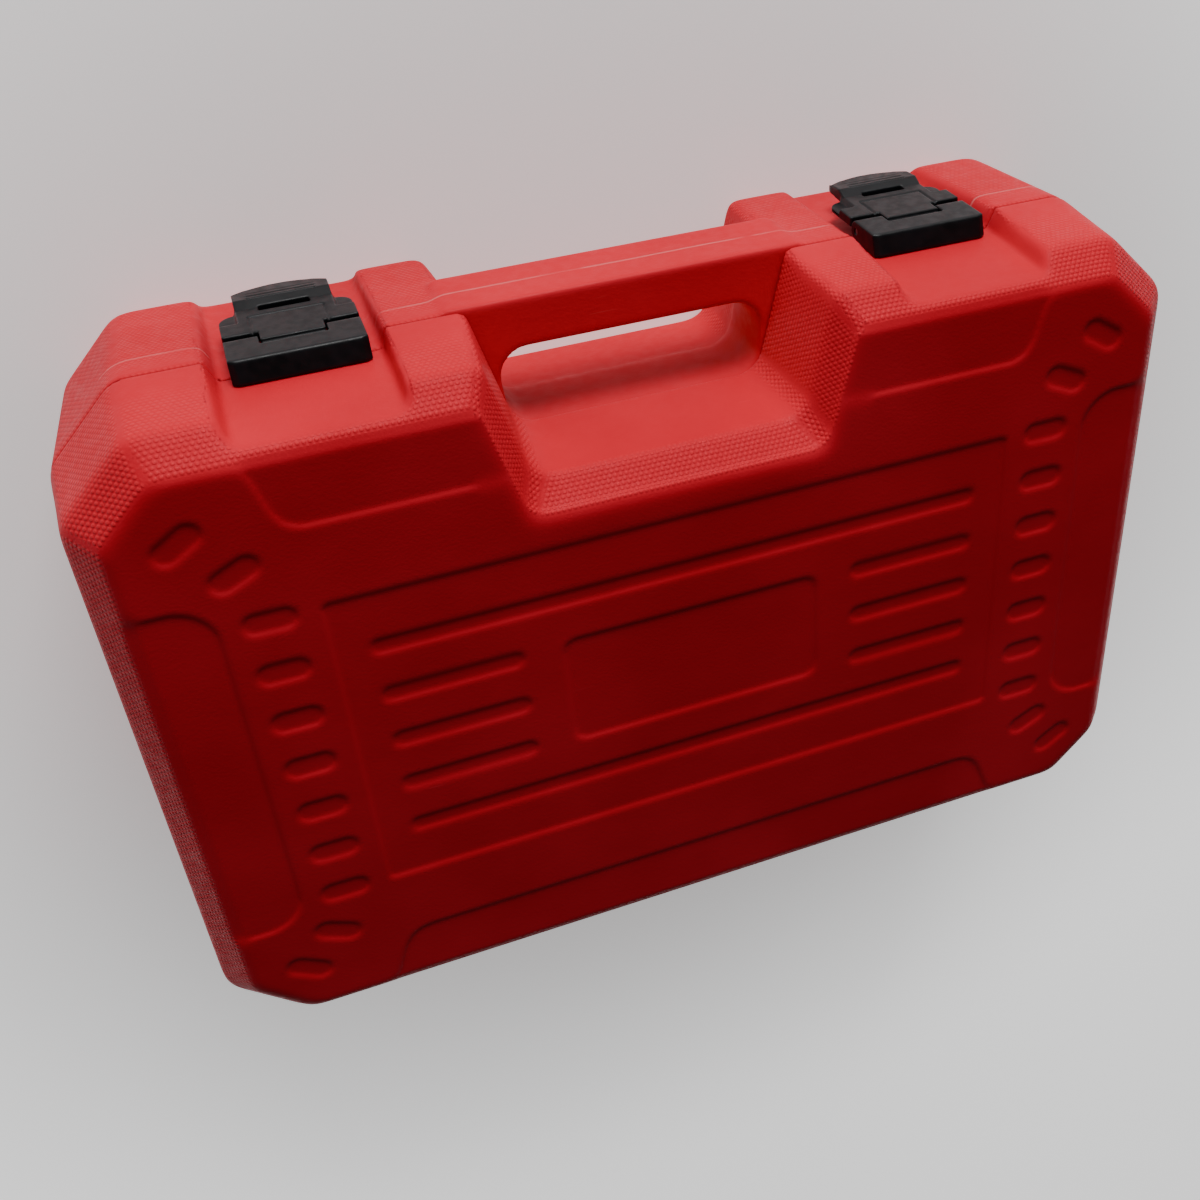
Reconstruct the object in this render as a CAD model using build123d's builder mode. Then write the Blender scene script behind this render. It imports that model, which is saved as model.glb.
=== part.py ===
"""Socket wrench set in a blow-moulded carrying case.

The case lies on its back: X runs along the hinge, Y from the hinge to the handle, Z from the
back of the base to the face of the lid. The origin is under the middle of the lid's panel, on
the plane that the base rests on. All lengths are millimetres.
"""
import os
from math import sqrt

from build123d import *

os.makedirs("parts", exist_ok=True)

# ---------------------------------------------------------------- case, driving dimensions
HALF_WIDTH = 183.0          # outside of the case at the seam
HALF_HEIGHT = 123.5
CORNER_CUT = 24.5           # legs of the cut corners at the seam
CORNER_RADIUS = 11.0
SEAM_Z = 68.0               # base below, lid above
DEPTH = 113.0               # back of the base to the face of the lid
SEAM_GAP = 0.4
WALL = 2.5
FACE_WALL = 3.2
EDGE = 11.0                 # height of the sloping band around each face
DRAFT = 0.065
BAND = 10.2                 # width of the sloping band

SCOOP_FLOOR = 81.3          # hand space above the middle of the case
SCOOP_HALF = 42.3           # half width at its floor
SCOOP_LEAN = 0.27           # its sides spread towards the top
SCOOP_RADIUS = 10.0
SCOOP_LIP_RADIUS = 3.5

HANDLE_TOP = 124.2
HANDLE_UNDER = 107.0
HANDLE_BACK = 40.0          # lowest z of the handle bar
HANDLE_HOLLOW = 49.0        # half length of the hollow inside it
FINGER_FLOOR = 79.3
FINGER_HALF = 43.5
FINGER_RADIUS = 10.0

LATCH_X = 105.0             # middle of each latch
LATCH_WIDTH = 41.6
RECESS_FLOOR = 116.5        # channel for a latch, at the seam
RECESS_INNER = 80.5
RECESS_OUTER = 129.6

# ---------------------------------------------------------------- hinge and latches
HINGE_Y = -(HALF_HEIGHT + 4.0)
HINGE_X = (-105.0, 0.0, 105.0)
KNUCKLE_RADIUS = 3.6
KNUCKLE_SPAN = 36.0
LID_KNUCKLE = 16.0
HINGE_PIN_RADIUS = 1.5
RUNNING_FIT = 0.06

LATCH_PIN_Y = 120.4
LATCH_PIN_Z = 59.4
LATCH_PIN_RADIUS = 1.1
LATCH_BARREL = 3.3
LATCH_TOP = 124.0
LATCH_FRONT = 75.5          # front face of the latch box
LATCH_BLOCK_BACK = 63.6
TONGUE_HALF = 9.8
TAB_HALF = 15.2             # finger tab of the lever, raised at its end
TAB_START = 38.0
TAB_END = 23.0
TAB_ARCH = 28.3             # radius of its arched end, seen from above
TAB_RISE = 1.8
LEVER_BACK = 37.2           # the full width of the lever ends here
LEVER_FRONT = 55.4
LEVER_THICK = 3.4
CATCH_Z = 43.0              # ridge on the base that the hook of a lever rests behind

# ---------------------------------------------------------------- trays and tools
FIELD_Z = 52.0              # top of the base tray, between its pockets
LINER_Z = 86.0              # underside of the lid liner's field
SKIN = 1.7                  # thickness of tray, liner and pocket walls
POCKET_GAP = 0.8            # room around a stowed tool

HALF_DRIVE = 12.7
QUARTER_DRIVE = 6.35


def save(builder, name):
    """Label a finished piece and write it as one STEP file."""
    builder.part.label = name
    export_step(builder.part, "parts/" + name + ".step")


# ---------------------------------------------------------------- case outlines
def octagon(inset):
    """Case outline with cut corners, moved in by inset."""
    w = HALF_WIDTH - inset
    h = HALF_HEIGHT - inset
    c = CORNER_CUT - (2 - sqrt(2)) * inset
    right = [(w, c - h), (w, h - c), (w - c, h)]
    left = [(-x, y) for x, y in reversed(right)]
    return right + left + [(c - w, -h), (w - c, -h)]


def scoop_outline(drop, spread):
    """Hand space: floor lowered by drop, leaning sides moved out by spread."""
    floor = SCOOP_FLOOR - drop
    top = HALF_HEIGHT + 30
    shift = spread * sqrt(1 + SCOOP_LEAN**2)
    low = SCOOP_HALF + shift + SCOOP_LEAN * (floor - SCOOP_FLOOR)
    high = SCOOP_HALF + shift + SCOOP_LEAN * (top - SCOOP_FLOOR)
    return [(low, floor), (high, top), (-high, top), (-low, floor)]


def recess_outline(side, floor, grow):
    """Channel that a latch lies in, with sloping sides, grown by grow."""
    top = floor + 16
    inner = RECESS_INNER - grow
    outer = RECESS_OUTER + grow
    low = floor - grow
    points = [(inner, low), (inner - 4.5, top), (outer + 7.5, top), (outer, low)]
    return [(side * x, y) for x, y in points]


def face_at(z, points):
    """Flat face with the given corners at height z."""
    with BuildSketch(Plane.XY.offset(z)) as profile:
        with BuildLine():
            Polyline(*points, close=True)
        make_face()
    return profile.sketch.face()


def prism(*levels):
    """Solid that runs straight from each level to the next; a level is (z, corner points)."""
    with BuildPart() as body:
        for (z0, low), (z1, high) in zip(levels, levels[1:]):
            loft([face_at(z0, low), face_at(z1, high)], ruled=True)
    return body.part


def upright(edge):
    """True for an edge that runs mostly along Z."""
    return abs(edge.tangent_at(0.5).Z) > 0.2


def scoop_cutter(side, grow, step):
    """The hand space as a solid; side is its three heights, step its floor drops."""
    seam, shoulder, face = side
    past = 3.0 if face > seam else -3.0
    with BuildPart() as cutter:
        add(prism((seam - past, scoop_outline(step[0] + grow, grow)),
                  (shoulder, scoop_outline(step[1] + grow, 3.5 + grow)),
                  (face + past, scoop_outline(step[1] + grow + BAND + 3, 14.0 + grow))))
        if grow == 0:
            low = [e for e in cutter.edges().filter_by(upright) if e.center().Y < SCOOP_FLOOR + 5]
            fillet(low, SCOOP_RADIUS)
    return cutter.part


def half_case(side, step, channel_end):
    """Half of the case as a full block, with its hand space and latch channels cut out."""
    seam, shoulder, face = side
    inset = DRAFT * abs(shoulder - seam)
    with BuildPart() as block:
        add(prism((seam, octagon(0)), (shoulder, octagon(inset)), (face, octagon(inset + BAND))))
        fillet(block.edges().filter_by(upright), CORNER_RADIUS)
        add(scoop_cutter(side, 0, step), mode=Mode.SUBTRACT)
        fillet([e for e in block.edges().filter_by(upright)
                if 50 < abs(e.center().X) < 66 and e.center().Y > 112], SCOOP_LIP_RADIUS)
        add(channels(side, 0, channel_end), mode=Mode.SUBTRACT)
    return block.part


def channels(side, grow, channel_end):
    """The two latch channels, running a little past the seam and the face."""
    seam, _, face = side
    past = 0.1 * (face - seam)
    fall = 0.1 * (RECESS_FLOOR - channel_end)
    with BuildPart() as pair:
        for hand in (-1, 1):
            add(prism((seam - past, recess_outline(hand, RECESS_FLOOR + fall, grow)),
                      (face + past, recess_outline(hand, channel_end - fall, grow))))
    return pair.part


def cavity(side, step, channel_end, thick, depth):
    """Room inside half a case whose wall is thick, open past the seam and ending at depth."""
    seam, shoulder, face = side
    up = 1 if face > seam else -1
    inset = DRAFT * abs(shoulder - seam)
    slope = (BAND - 0.4 * thick) / abs(face - shoulder)
    beyond = up * depth > up * shoulder
    levels = [(seam - up, octagon(thick - DRAFT)),
              (shoulder if beyond else depth, octagon(inset + thick))]
    if beyond:
        levels.append((depth, octagon(inset + thick + slope * abs(depth - shoulder))))
    with BuildPart() as room:
        add(prism(*levels))
        add(scoop_cutter(side, thick, step), mode=Mode.SUBTRACT)
        add(channels(side, thick, channel_end), mode=Mode.SUBTRACT)
    return room.part


# heights of seam, shoulder and face, then the drop of the hand space's floor at seam and shoulder
LID_SIDE = (SEAM_Z + SEAM_GAP / 2, DEPTH - EDGE, DEPTH)
LID_STEP = (0.0, 1.3)
LID_CHANNEL_END = 114.6
BASE_SIDE = (SEAM_Z - SEAM_GAP / 2, EDGE, 0.0)
BASE_STEP = (1.5, 4.8)
BASE_CHANNEL_END = 114.0


def lid_room(thick, depth):
    """Room inside the lid, up to the height depth."""
    return cavity(LID_SIDE, LID_STEP, LID_CHANNEL_END, thick, depth)


def base_room(thick, depth):
    """Room inside the base, down to the height depth."""
    return cavity(BASE_SIDE, BASE_STEP, BASE_CHANNEL_END, thick, depth)


# ---------------------------------------------------------------- hinge
def knuckle_places(lid):
    """Ends along X of the knuckles of one half, over all hinges."""
    half = KNUCKLE_SPAN / 2
    middle = LID_KNUCKLE / 2
    for x in HINGE_X:
        if lid:
            yield x - middle, x + middle
        else:
            yield x - half, x - middle - 0.4
            yield x + middle + 0.4, x + half


def knuckles(lid):
    """Barrels around the hinge axis, each with a web to its own half of the case."""
    sign = 1 if lid else -1
    in_wall = 1.5 - HALF_HEIGHT
    with BuildPart() as group:
        for x0, x1 in knuckle_places(lid):
            with BuildSketch(Plane.YZ.offset(x0)):
                with Locations((HINGE_Y, SEAM_Z)):
                    Circle(KNUCKLE_RADIUS)
                with BuildLine():
                    Polyline((HINGE_Y - 3.2, SEAM_Z + sign * 1.6), (HINGE_Y, SEAM_Z + sign * 0.6),
                             (in_wall, SEAM_Z + sign * 0.6), (in_wall, SEAM_Z + sign * 12),
                             close=True)
                make_face()
                with Locations((HINGE_Y, SEAM_Z)):
                    Circle(HINGE_PIN_RADIUS + (RUNNING_FIT if lid else 0), mode=Mode.SUBTRACT)
            extrude(amount=x1 - x0)
    return group.part


def make_hinge_pins():
    with BuildPart() as hinge_pins:
        for x in HINGE_X:
            with BuildSketch(Plane.YZ.offset(x - KNUCKLE_SPAN / 2)):
                with Locations((HINGE_Y, SEAM_Z)):
                    Circle(HINGE_PIN_RADIUS)
            extrude(amount=KNUCKLE_SPAN)
    save(hinge_pins, "hinge_pins")


# ---------------------------------------------------------------- base of the case
FOOT_X = (-136.0, 136.0)
FOOT_WIDTH = 30.0
FOOT_LOW = 12.0             # z where the feet begin and how far they run
FOOT_RUN = 36.0
FOOT_INNER = HALF_HEIGHT + 1.5


def handle_outline():
    """Outline of the block that the handle bar is cut from."""
    low = FINGER_FLOOR - 2.5
    return [(48, low), (60, HANDLE_TOP), (-60, HANDLE_TOP), (-48, low)]


def finger_hole():
    """Outline of the finger space under the handle bar."""
    lean = 2.5
    return [(FINGER_HALF, FINGER_FLOOR), (FINGER_HALF + lean, HANDLE_UNDER),
            (-FINGER_HALF - lean, HANDLE_UNDER), (-FINGER_HALF, FINGER_FLOOR)]


def make_base_shell():
    with BuildPart() as base_shell:
        add(half_case(BASE_SIDE, BASE_STEP, BASE_CHANNEL_END))
        with BuildSketch(Plane.XY.offset(HANDLE_BACK)):
            with BuildLine():
                Polyline(*handle_outline(), close=True)
            make_face()
            with BuildSketch(mode=Mode.SUBTRACT) as hole:
                with BuildLine():
                    Polyline(*finger_hole(), close=True)
                make_face()
                fillet(hole.vertices(), FINGER_RADIUS)
        extrude(amount=BASE_SIDE[0] - HANDLE_BACK)
        add(base_room(WALL, FACE_WALL), mode=Mode.SUBTRACT)
        with Locations((0, (HANDLE_TOP + HANDLE_UNDER) / 2, (HANDLE_BACK + SEAM_Z) / 2)):
            Box(2 * HANDLE_HOLLOW, HANDLE_TOP - HANDLE_UNDER - 2 * WALL,
                SEAM_Z - HANDLE_BACK - 2 * WALL, mode=Mode.SUBTRACT)
        for x in FOOT_X:
            with BuildSketch(Plane.XY.offset(FOOT_LOW)):
                with Locations((x, -FOOT_INNER)):
                    RectangleRounded(FOOT_WIDTH, 2 * (KNUCKLE_RADIUS - HINGE_Y - FOOT_INNER), 4)
            extrude(amount=FOOT_RUN)
        add(base_room(WALL, FACE_WALL), mode=Mode.SUBTRACT)
        add(knuckles(lid=False))
        for hand in (-1, 1):
            with Locations((hand * LATCH_X, RECESS_FLOOR - 0.4, CATCH_Z)):
                Box(20, 3.6, 4)
    save(base_shell, "base_shell")


# ---------------------------------------------------------------- lid of the case
RECESS_DEPTH = 1.1          # each step of the pattern on the face
PANEL_X = 117.3
PANEL_Y = 60.0
ROW_PITCH = 19.4
SLOT_WIDTH = 6.6
LONG_SLOT = 106.0
SHORT_SLOT = (58.7, 105.8)
LABEL_X = 45.7
LABEL_Y = 22.2
SIDE_SLOT_X = 132.3
SIDE_SLOT = (17.0, 8.6)
CORNER_SLOTS = ((138.4, 77.0, -25.5), (151.1, 91.0, -33.0))
SIDE_ZONE_X = 146.6
SIDE_ZONE_Y = 69.0
# long zones beside two edges of the face: side of y, inner x, where the border bends, its level,
# and where the bend meets the edge
EDGE_ZONES = ((1, 50.0, 114.5, 87.4, 131.4), (-1, -1.0, 105.6, 87.0, 125.5))
FACE_EDGE = 112.0


def cut_pattern(depth):
    """Cut what is sketched on the face down by depth."""
    extrude(amount=-depth, mode=Mode.SUBTRACT)


def face_plane(level):
    """Plane of the lid's face, one level lower for each step of the pattern."""
    return Plane.XY.offset(DEPTH - level * RECESS_DEPTH)


def make_lid_shell():
    with BuildPart() as lid_shell:
        add(half_case(LID_SIDE, LID_STEP, LID_CHANNEL_END))
        with BuildSketch(face_plane(0)):
            RectangleRounded(2 * PANEL_X, 2 * PANEL_Y, 2.5)
        cut_pattern(RECESS_DEPTH)
        with BuildSketch(face_plane(1)):
            RectangleRounded(2 * LABEL_X, 2 * LABEL_Y, 5)
            for row in (-2, 2):
                with Locations((0, row * ROW_PITCH)):
                    SlotOverall(2 * LONG_SLOT, SLOT_WIDTH)
            middle = sum(SHORT_SLOT) / 2
            with Locations([(side * middle, row * ROW_PITCH) for side in (-1, 1) for row in (-1, 0, 1)]):
                SlotOverall(SHORT_SLOT[1] - SHORT_SLOT[0], SLOT_WIDTH)
        cut_pattern(RECESS_DEPTH)
        with BuildSketch(face_plane(0)):
            with Locations([(side * SIDE_SLOT_X, row * ROW_PITCH)
                            for side in (-1, 1) for row in range(-3, 4)]):
                SlotOverall(*SIDE_SLOT)
            for x, y, angle in CORNER_SLOTS:
                for sx in (-1, 1):
                    for sy in (-1, 1):
                        with Locations(Location((sx * x, sy * y, 0), (0, 0, sx * sy * angle))):
                            SlotOverall(*SIDE_SLOT)
            for side in (-1, 1):
                with Locations((side * (SIDE_ZONE_X + 20), 0)):
                    RectangleRounded(40, 2 * SIDE_ZONE_Y, 14)
                for way, inner, bend, level, end in EDGE_ZONES:
                    with BuildLine():
                        Polyline((side * bend, way * level), (side * inner, way * level),
                                 (side * inner, way * (FACE_EDGE + 6)), (side * end, way * (FACE_EDGE + 6)),
                                 (side * end, way * FACE_EDGE))
                        Spline((side * bend, way * level), (side * end, way * FACE_EDGE),
                               tangents=((side, 0), (side, way)))
                    make_face()
        cut_pattern(RECESS_DEPTH)
        add(lid_room(WALL, DEPTH - FACE_WALL), mode=Mode.SUBTRACT)
        add(knuckles(lid=True))
    save(lid_shell, "lid_shell")


# ---------------------------------------------------------------- latches
def make_latch_box(hand, name):
    """Front part of a latch: a block on the lid, with two arms that carry the lever's pin."""
    arm = LATCH_WIDTH / 2 - TONGUE_HALF - 0.5
    depth = LATCH_FRONT - LATCH_BLOCK_BACK
    with BuildPart() as latch_box:
        with Locations((hand * LATCH_X, (LATCH_TOP + RECESS_FLOOR) / 2, LATCH_FRONT - depth / 2)):
            Box(LATCH_WIDTH, LATCH_TOP - RECESS_FLOOR, depth)
        fillet(latch_box.edges().filter_by(Axis.X).sort_by(Axis.Z)[-2:], 0.8)
        for side in (-1, 1):
            x = hand * LATCH_X + side * (LATCH_WIDTH - arm) / 2
            with Locations((x, (LATCH_TOP + RECESS_FLOOR + 0.6) / 2, (LATCH_PIN_Z + LATCH_BLOCK_BACK) / 2)):
                Box(arm, LATCH_TOP - RECESS_FLOOR - 0.6, LATCH_BLOCK_BACK - LATCH_PIN_Z)
            with Locations(Location((x, LATCH_PIN_Y, LATCH_PIN_Z), (0, 90, 0))):
                Cylinder(LATCH_TOP - LATCH_PIN_Y, arm)
        with Locations(Location((hand * LATCH_X, LATCH_PIN_Y, LATCH_PIN_Z), (0, 90, 0))):
            Cylinder(LATCH_PIN_RADIUS, LATCH_WIDTH + 2, mode=Mode.SUBTRACT)
    save(latch_box, name)


def lever_profile():
    """Side view of the lever from its barrel to its raised tab, as (y, z) corners."""
    under = LATCH_TOP - LEVER_THICK
    raised = LATCH_TOP + TAB_RISE
    return [(LATCH_TOP, LATCH_PIN_Z), (LATCH_TOP, TAB_START), (raised, TAB_START - 4),
            (raised - 0.8, TAB_END), (raised - 3.4, TAB_END), (under + 0.8, TAB_START - 2),
            (under, TAB_START), (under, LATCH_PIN_Z)]


def make_latch_lever(hand, name):
    """Lever with a hinge tongue, a window, grip grooves, a raised finger tab and a hook."""
    x = hand * LATCH_X
    middle = (LEVER_FRONT + LEVER_BACK) / 2
    with BuildPart() as latch_lever:
        with BuildSketch(Plane.YZ.offset(x - TAB_HALF)):
            with BuildLine():
                Polyline(*lever_profile(), close=True)
            make_face()
        extrude(amount=2 * TAB_HALF)
        with Locations(Location((x, LATCH_TOP, TAB_END + TAB_ARCH), (90, 0, 0))):
            Cylinder(TAB_ARCH, 20, mode=Mode.INTERSECT)
        with Locations((x, LATCH_TOP - LEVER_THICK / 2, middle)):
            Box(LATCH_WIDTH, LEVER_THICK, LEVER_FRONT - LEVER_BACK)
        with Locations(Location((x, LATCH_PIN_Y, LATCH_PIN_Z), (0, 90, 0))):
            Cylinder(LATCH_BARREL, 2 * TONGUE_HALF)
        with Locations((x, LATCH_TOP - 1.0, LATCH_PIN_Z + 0.8)):
            Box(2 * TONGUE_HALF, 2.0, 2.0)
        for side in (-1, 1):
            with Locations((x + side * (TONGUE_HALF + 10), LATCH_TOP - 4, LEVER_FRONT + 5.4)):
                Box(20, 12, 10.8, mode=Mode.SUBTRACT)
        with Locations((x, LATCH_TOP, TAB_START + 0.4)):
            Box(16, 12, 2.6, mode=Mode.SUBTRACT)
        with Locations([(x, LATCH_TOP + 1.9, TAB_START - 4.4 - 2.2 * n) for n in range(3)]):
            Box(22, 1.2, 0.7, mode=Mode.SUBTRACT)
        with Locations((x, LATCH_TOP - 4.1, CATCH_Z - 3.1)):
            Box(14, 2.6, 1.6)
        with Locations(Location((x, LATCH_PIN_Y, LATCH_PIN_Z), (0, 90, 0))):
            Cylinder(LATCH_PIN_RADIUS + RUNNING_FIT, LATCH_WIDTH + 2, mode=Mode.SUBTRACT)
    save(latch_lever, name)


def make_latch_pin(hand, name):
    with BuildPart() as latch_pin:
        with Locations(Location((hand * LATCH_X, LATCH_PIN_Y, LATCH_PIN_Z), (0, 90, 0))):
            Cylinder(LATCH_PIN_RADIUS, LATCH_WIDTH - 1)
    save(latch_pin, name)


# ---------------------------------------------------------------- tools: what stands in the tray
# (size across flats, outside diameter at the hex end)
HALF_SOCKETS = ((32, 42), (30, 40), (27, 36), (24, 32.5), (22, 30), (21, 29), (19, 27), (17, 24.5))
MIDDLE_SOCKETS = ((16, 23.5), (15, 23), (14, 22.5), (13, 22.5), (12, 22.5), (10, 22.5))
QUARTER_SOCKETS = ((13, 18), (11, 15.6), (10, 14.4), (8, 12.4), (7, 12), (6, 12))
HALF_LENGTH = 38.0
QUARTER_LENGTH = 25.0
ROW_START = -168.0
ROW_GAP = 6.5
HALF_ROW_Y = -94.0
MIDDLE_ROW_Y = -57.0
QUARTER_ROW_Y = -33.0
SOCKET_TOP = 63.0           # mouths of the standing sockets


def row_places(sizes):
    """Middle of each socket along X, side by side from the left."""
    x = ROW_START
    for _, outside in sizes:
        x += outside / 2
        yield x
        x += outside / 2 + ROW_GAP


def socket_rows():
    """Every standing socket as (name, x, y, hex size, outside diameter, length, drive)."""
    rows = ((HALF_SOCKETS, HALF_ROW_Y, HALF_LENGTH, HALF_DRIVE),
            (MIDDLE_SOCKETS, MIDDLE_ROW_Y, HALF_LENGTH, HALF_DRIVE),
            (QUARTER_SOCKETS, QUARTER_ROW_Y, QUARTER_LENGTH, QUARTER_DRIVE))
    for sizes, y, length, drive in rows:
        kind = "half" if drive == HALF_DRIVE else "quarter"
        for (flats, outside), x in zip(sizes, row_places(sizes)):
            yield f"socket_{kind}_{flats}", x, y, flats, outside, length, drive


def make_socket(name, x, y, flats, outside, length, drive):
    """Socket standing with its hex mouth up."""
    floor = SOCKET_TOP - length
    waist = min(outside, max(1.75 * drive, 0.86 * outside))
    with BuildPart() as socket:
        with BuildSketch(Plane.XZ.offset(-y)):
            with BuildLine():
                Polyline((x, floor), (x + waist / 2 - 1, floor), (x + waist / 2, floor + 1),
                         (x + waist / 2, floor + 0.42 * length), (x + outside / 2, floor + 0.56 * length),
                         (x + outside / 2, SOCKET_TOP - 0.8), (x + outside / 2 - 0.8, SOCKET_TOP),
                         (x, SOCKET_TOP), close=True)
            make_face()
        revolve(axis=Axis((x, y, 0), (0, 0, 1)))
        with BuildSketch(Plane.XY.offset(SOCKET_TOP)):
            with Locations((x, y)):
                RegularPolygon(flats / 2 + 0.1, 6, major_radius=False)
        extrude(amount=-0.45 * length, mode=Mode.SUBTRACT)
        with BuildSketch(Plane.XY.offset(floor)):
            with Locations((x, y)):
                Rectangle(drive + 0.15, drive + 0.15)
        extrude(amount=1.2 * drive, mode=Mode.SUBTRACT)
        with Locations((x, y, SOCKET_TOP - length / 2)):
            Cylinder(0.3 * drive, length, mode=Mode.SUBTRACT)
    save(socket, name)


# ---------------------------------------------------------------- tools: ratchets
# x and y of the drive, z of its axis, overall scale, then reach from drive to the end of the grip
HALF_RATCHET = ("half_ratchet", -146.0, 33.0, 49.0, 1.0, 222.0)
QUARTER_RATCHET = ("quarter_ratchet", -153.0, -7.0, 54.0, 0.56, 124.0)
HEAD_RADIUS = 19.0
HEAD_HALF = 12.5
GEAR_TEETH = 24


def make_ratchet(name, x, y, z, scale, reach):
    """Reversible ratchet lying with its drive square down and its selector up."""
    radius = HEAD_RADIUS * scale
    half = HEAD_HALF * scale
    grip_start = x + 0.42 * reach
    cap = 4.0 * scale
    make_ratchet_body(name, (x, y, z), scale, reach)
    with BuildPart() as grip:
        with Locations(Location((grip_start + 0.29 * reach, y, z), (0, 90, 0))):
            Cylinder(13.0 * scale, 0.58 * reach)
        fillet(grip.edges().filter_by(GeomType.CIRCLE), 3 * scale)
        with Locations(Location((grip_start + 0.29 * reach, y, z), (0, 90, 0))):
            Cylinder(6.5 * scale, 0.58 * reach + 1, mode=Mode.SUBTRACT)
        for n in range(5):
            with Locations(Location((grip_start + (0.12 + 0.085 * n) * reach, y, z), (0, 90, 0))):
                Torus(13.6 * scale, 1.6 * scale, mode=Mode.SUBTRACT)
    save(grip, name + "_grip")
    with BuildPart() as gear:
        with BuildSketch(Plane.XY.offset(z - 0.66 * half)):
            with Locations((x, y)):
                Circle(0.66 * radius)
        extrude(amount=1.3 * half)
        with BuildSketch(Plane.XY.offset(z - 0.66 * half)):
            with Locations((x, y)):
                with PolarLocations(0.66 * radius, GEAR_TEETH):
                    Rectangle(1.6 * scale, 1.1 * scale)
        extrude(amount=1.3 * half)
        with Locations((x, y, z - 0.9 * half)):
            Cylinder(0.5 * radius - 0.1, 0.6 * half)
        square = HALF_DRIVE if scale == 1 else QUARTER_DRIVE
        with Locations((x, y, z - half - 0.5 * square)):
            Box(square, square, square + 1.2)
        with Locations((x, y, z)):
            Cylinder(2.6 * scale + 0.1, 4 * half, mode=Mode.SUBTRACT)
    save(gear, name + "_drive_gear")
    with BuildPart() as selector:
        with Locations((x, y, z + half + 1.3 * scale)):
            Cylinder(8.5 * scale, 2.0 * scale)
        with Locations((x + 10 * scale, y, z + half + 1.3 * scale)):
            Box(12 * scale, 5 * scale, 2.0 * scale)
        with Locations((x, y, z + half + 1.3 * scale)):
            Cylinder(cap + 0.35, 6 * scale, mode=Mode.SUBTRACT)
    save(selector, name + "_selector")
    with BuildPart() as button:
        with Locations((x, y, z + half + 2.4 * scale)):
            Cylinder(cap, 2.4 * scale)
        with Locations((x, y, z)):
            Cylinder(2.6 * scale - 0.2, 2 * half + 3 * scale)
    save(button, name + "_button")


def make_ratchet_body(name, place, scale, reach):
    """Round head with a gear chamber, a tapering neck and the rod that the grip sits on."""
    x, y, z = place
    radius = HEAD_RADIUS * scale
    half = HEAD_HALF * scale
    with BuildPart() as body:
        with Locations((x, y, z)):
            Cylinder(radius, 2 * half)
        fillet(body.edges(), 2 * scale)
        with Locations(Location((x + 0.7 * radius + 0.14 * reach, y, z), (0, 90, 0))):
            Cone(8.6 * scale, 6.5 * scale, 0.28 * reach)
        with Locations(Location((x + 0.65 * reach, y, z), (0, 90, 0))):
            Cylinder(6.4 * scale, 0.66 * reach)
        with Locations((x, y, z)):
            Cylinder(0.75 * radius, 1.45 * half, mode=Mode.SUBTRACT)
        with Locations((x, y, z - half)):
            Cylinder(0.5 * radius + 0.1, half, mode=Mode.SUBTRACT)
        with Locations((x, y, z + half)):
            Cylinder(4.0 * scale + 0.4, half, mode=Mode.SUBTRACT)
    save(body, name + "_body")


# ---------------------------------------------------------------- tools: bars, spinner, bits
# name, x of the socket end, y and z of the axis, length, drive square
HALF_EXTENSION = ("half_extension", -98.0, 60.5, 55.0, 250.0, HALF_DRIVE)
QUARTER_EXTENSION = ("quarter_extension", 18.0, -33.0, 57.5, 100.0, QUARTER_DRIVE)
SHORT_EXTENSION = ("short_extension", 98.0, 36.0, 55.0, 75.0, HALF_DRIVE)
SPINNER = (4.0, -4.0, 54.0)
SPINNER_GRIP = 84.0
SPINNER_SHAFT = 3.6         # radius
PLUG_LENGTH = 66.0
# name, x and y, z of the axis, hex size, outside diameter
PLUG_SOCKETS = (("plug_socket_21", -158.0, 95.0, 52.0, 21, 27.5),
                ("plug_socket_16", 92.0, 95.0, 54.0, 16, 22.0))
BIT = 6.35                  # across the flats
BIT_LENGTH = 25.0
BIT_TIP = 10.0
BIT_START = 54.0
BIT_PITCH = 13.5
BIT_ROWS = (-62.0, -51.5)


def bar_profile(length, radius, square):
    """Half outline of an extension bar along its own axis: socket end, stem, square end."""
    end = 1.75 * radius
    stop = length - 1.2 * square
    return [(0, 0), (end, 0), (end, 2.4 * square), (radius, 2.4 * square + 5), (radius, stop), (0, stop)]


def make_extension(name, x, y, z, length, square):
    """Extension bar lying along X, with a square hole at one end and a square at the other."""
    profile = bar_profile(length, square / 2, square)
    with BuildPart() as extension:
        with BuildSketch(Plane.XZ.offset(-y)):
            with BuildLine():
                Polyline(*[(x + along, z + out) for out, along in profile], close=True)
            make_face()
        revolve(axis=Axis((x, y, z), (1, 0, 0)))
        with Locations((x + length - 0.6 * square, y, z)):
            Box(1.2 * square, square - 0.1, square - 0.1)
        with Locations((x + 0.6 * square, y, z)):
            Box(1.2 * square, square + 0.15, square + 0.15, mode=Mode.SUBTRACT)
    save(extension, name)


def make_spinner():
    x, y, z = SPINNER
    with BuildPart() as spinner_shaft:
        with Locations(Location((x + SPINNER_GRIP + 2, y, z), (0, 90, 0))):
            Cylinder(SPINNER_SHAFT, 78)
        with Locations((x + SPINNER_GRIP + 45, y, z)):
            Box(9, QUARTER_DRIVE, QUARTER_DRIVE)
    save(spinner_shaft, "spinner_shaft")
    with BuildPart() as spinner_handle:
        with BuildSketch(Plane.YZ.offset(x)):
            with Locations((y, z)):
                RegularPolygon(11.5, 6)
        extrude(amount=SPINNER_GRIP)
        fillet(spinner_handle.edges(), 2.0)
        with Locations(Location((x + SPINNER_GRIP - 18, y, z), (0, 90, 0))):
            Cylinder(SPINNER_SHAFT, 38.4, mode=Mode.SUBTRACT)
    save(spinner_handle, "spinner_handle")


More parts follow.
